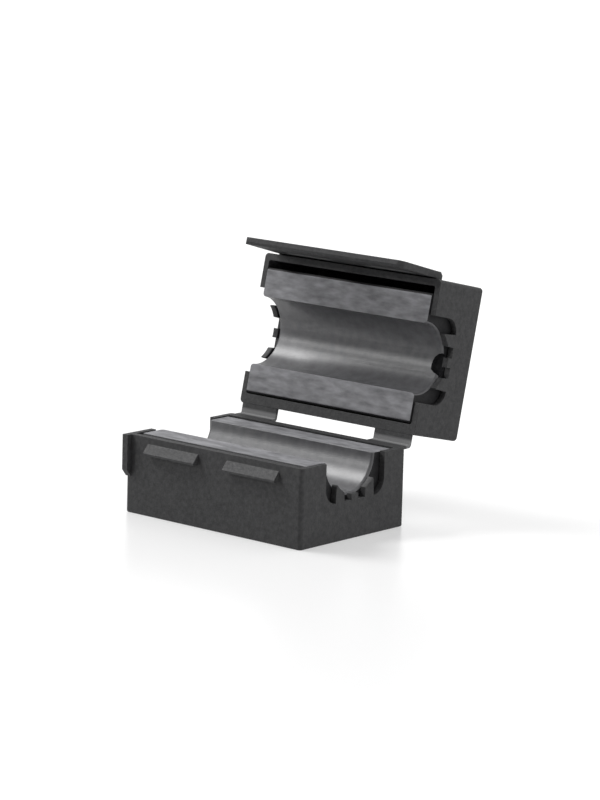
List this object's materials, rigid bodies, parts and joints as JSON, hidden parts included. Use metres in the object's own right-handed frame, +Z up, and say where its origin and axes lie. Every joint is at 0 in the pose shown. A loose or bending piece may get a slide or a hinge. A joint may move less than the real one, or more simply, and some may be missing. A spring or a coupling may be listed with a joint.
{
  "type": "clip on ferrite bead",
  "caption": "Rectangular clip on ferrite bead, open: hinged dark plastic case with a latch flap and clawed cable openings, and grooved ferrite core halves.",
  "frame": {"origin": "centre of the base's underside, where the case stands", "axes": "+X along the cable channel, +Y from the latch to the hinge, +Z up out of the mouth of the base"},
  "size_m": [0.033, 0.0398, 0.0377],
  "materials": {
    "case_plastic": "satin moulded, dark grey",
    "ferrite": "pressed and fired, grey, ground on the lands"
  },
  "bodies": {
    "base": {"base_shell": "case_plastic", "lower_core_half": "ferrite", "hinge_strap_left": "case_plastic", "hinge_strap_right": "case_plastic"},
    "lid": {"lid_shell": "case_plastic", "upper_core_half": "ferrite"},
    "latch": {"latch_flap": "case_plastic"}
  },
  "joints": [
    {"name": "lid_hinge", "type": "hinge", "parent": "base", "child": "lid", "pos_m": [0, 0.01252, 0.0115], "axis": [-1, 0, 0], "range_deg": [-103, 77], "deforming": ["hinge_strap_left", "hinge_strap_right"]},
    {"name": "latch_flex", "type": "hinge", "parent": "lid", "child": "latch", "pos_m": [0, 0.02018, 0.03402], "axis": [-1, 0, 0], "range_deg": [0, 12], "stiffness_Nm_per_rad": 0.02}
  ]
}
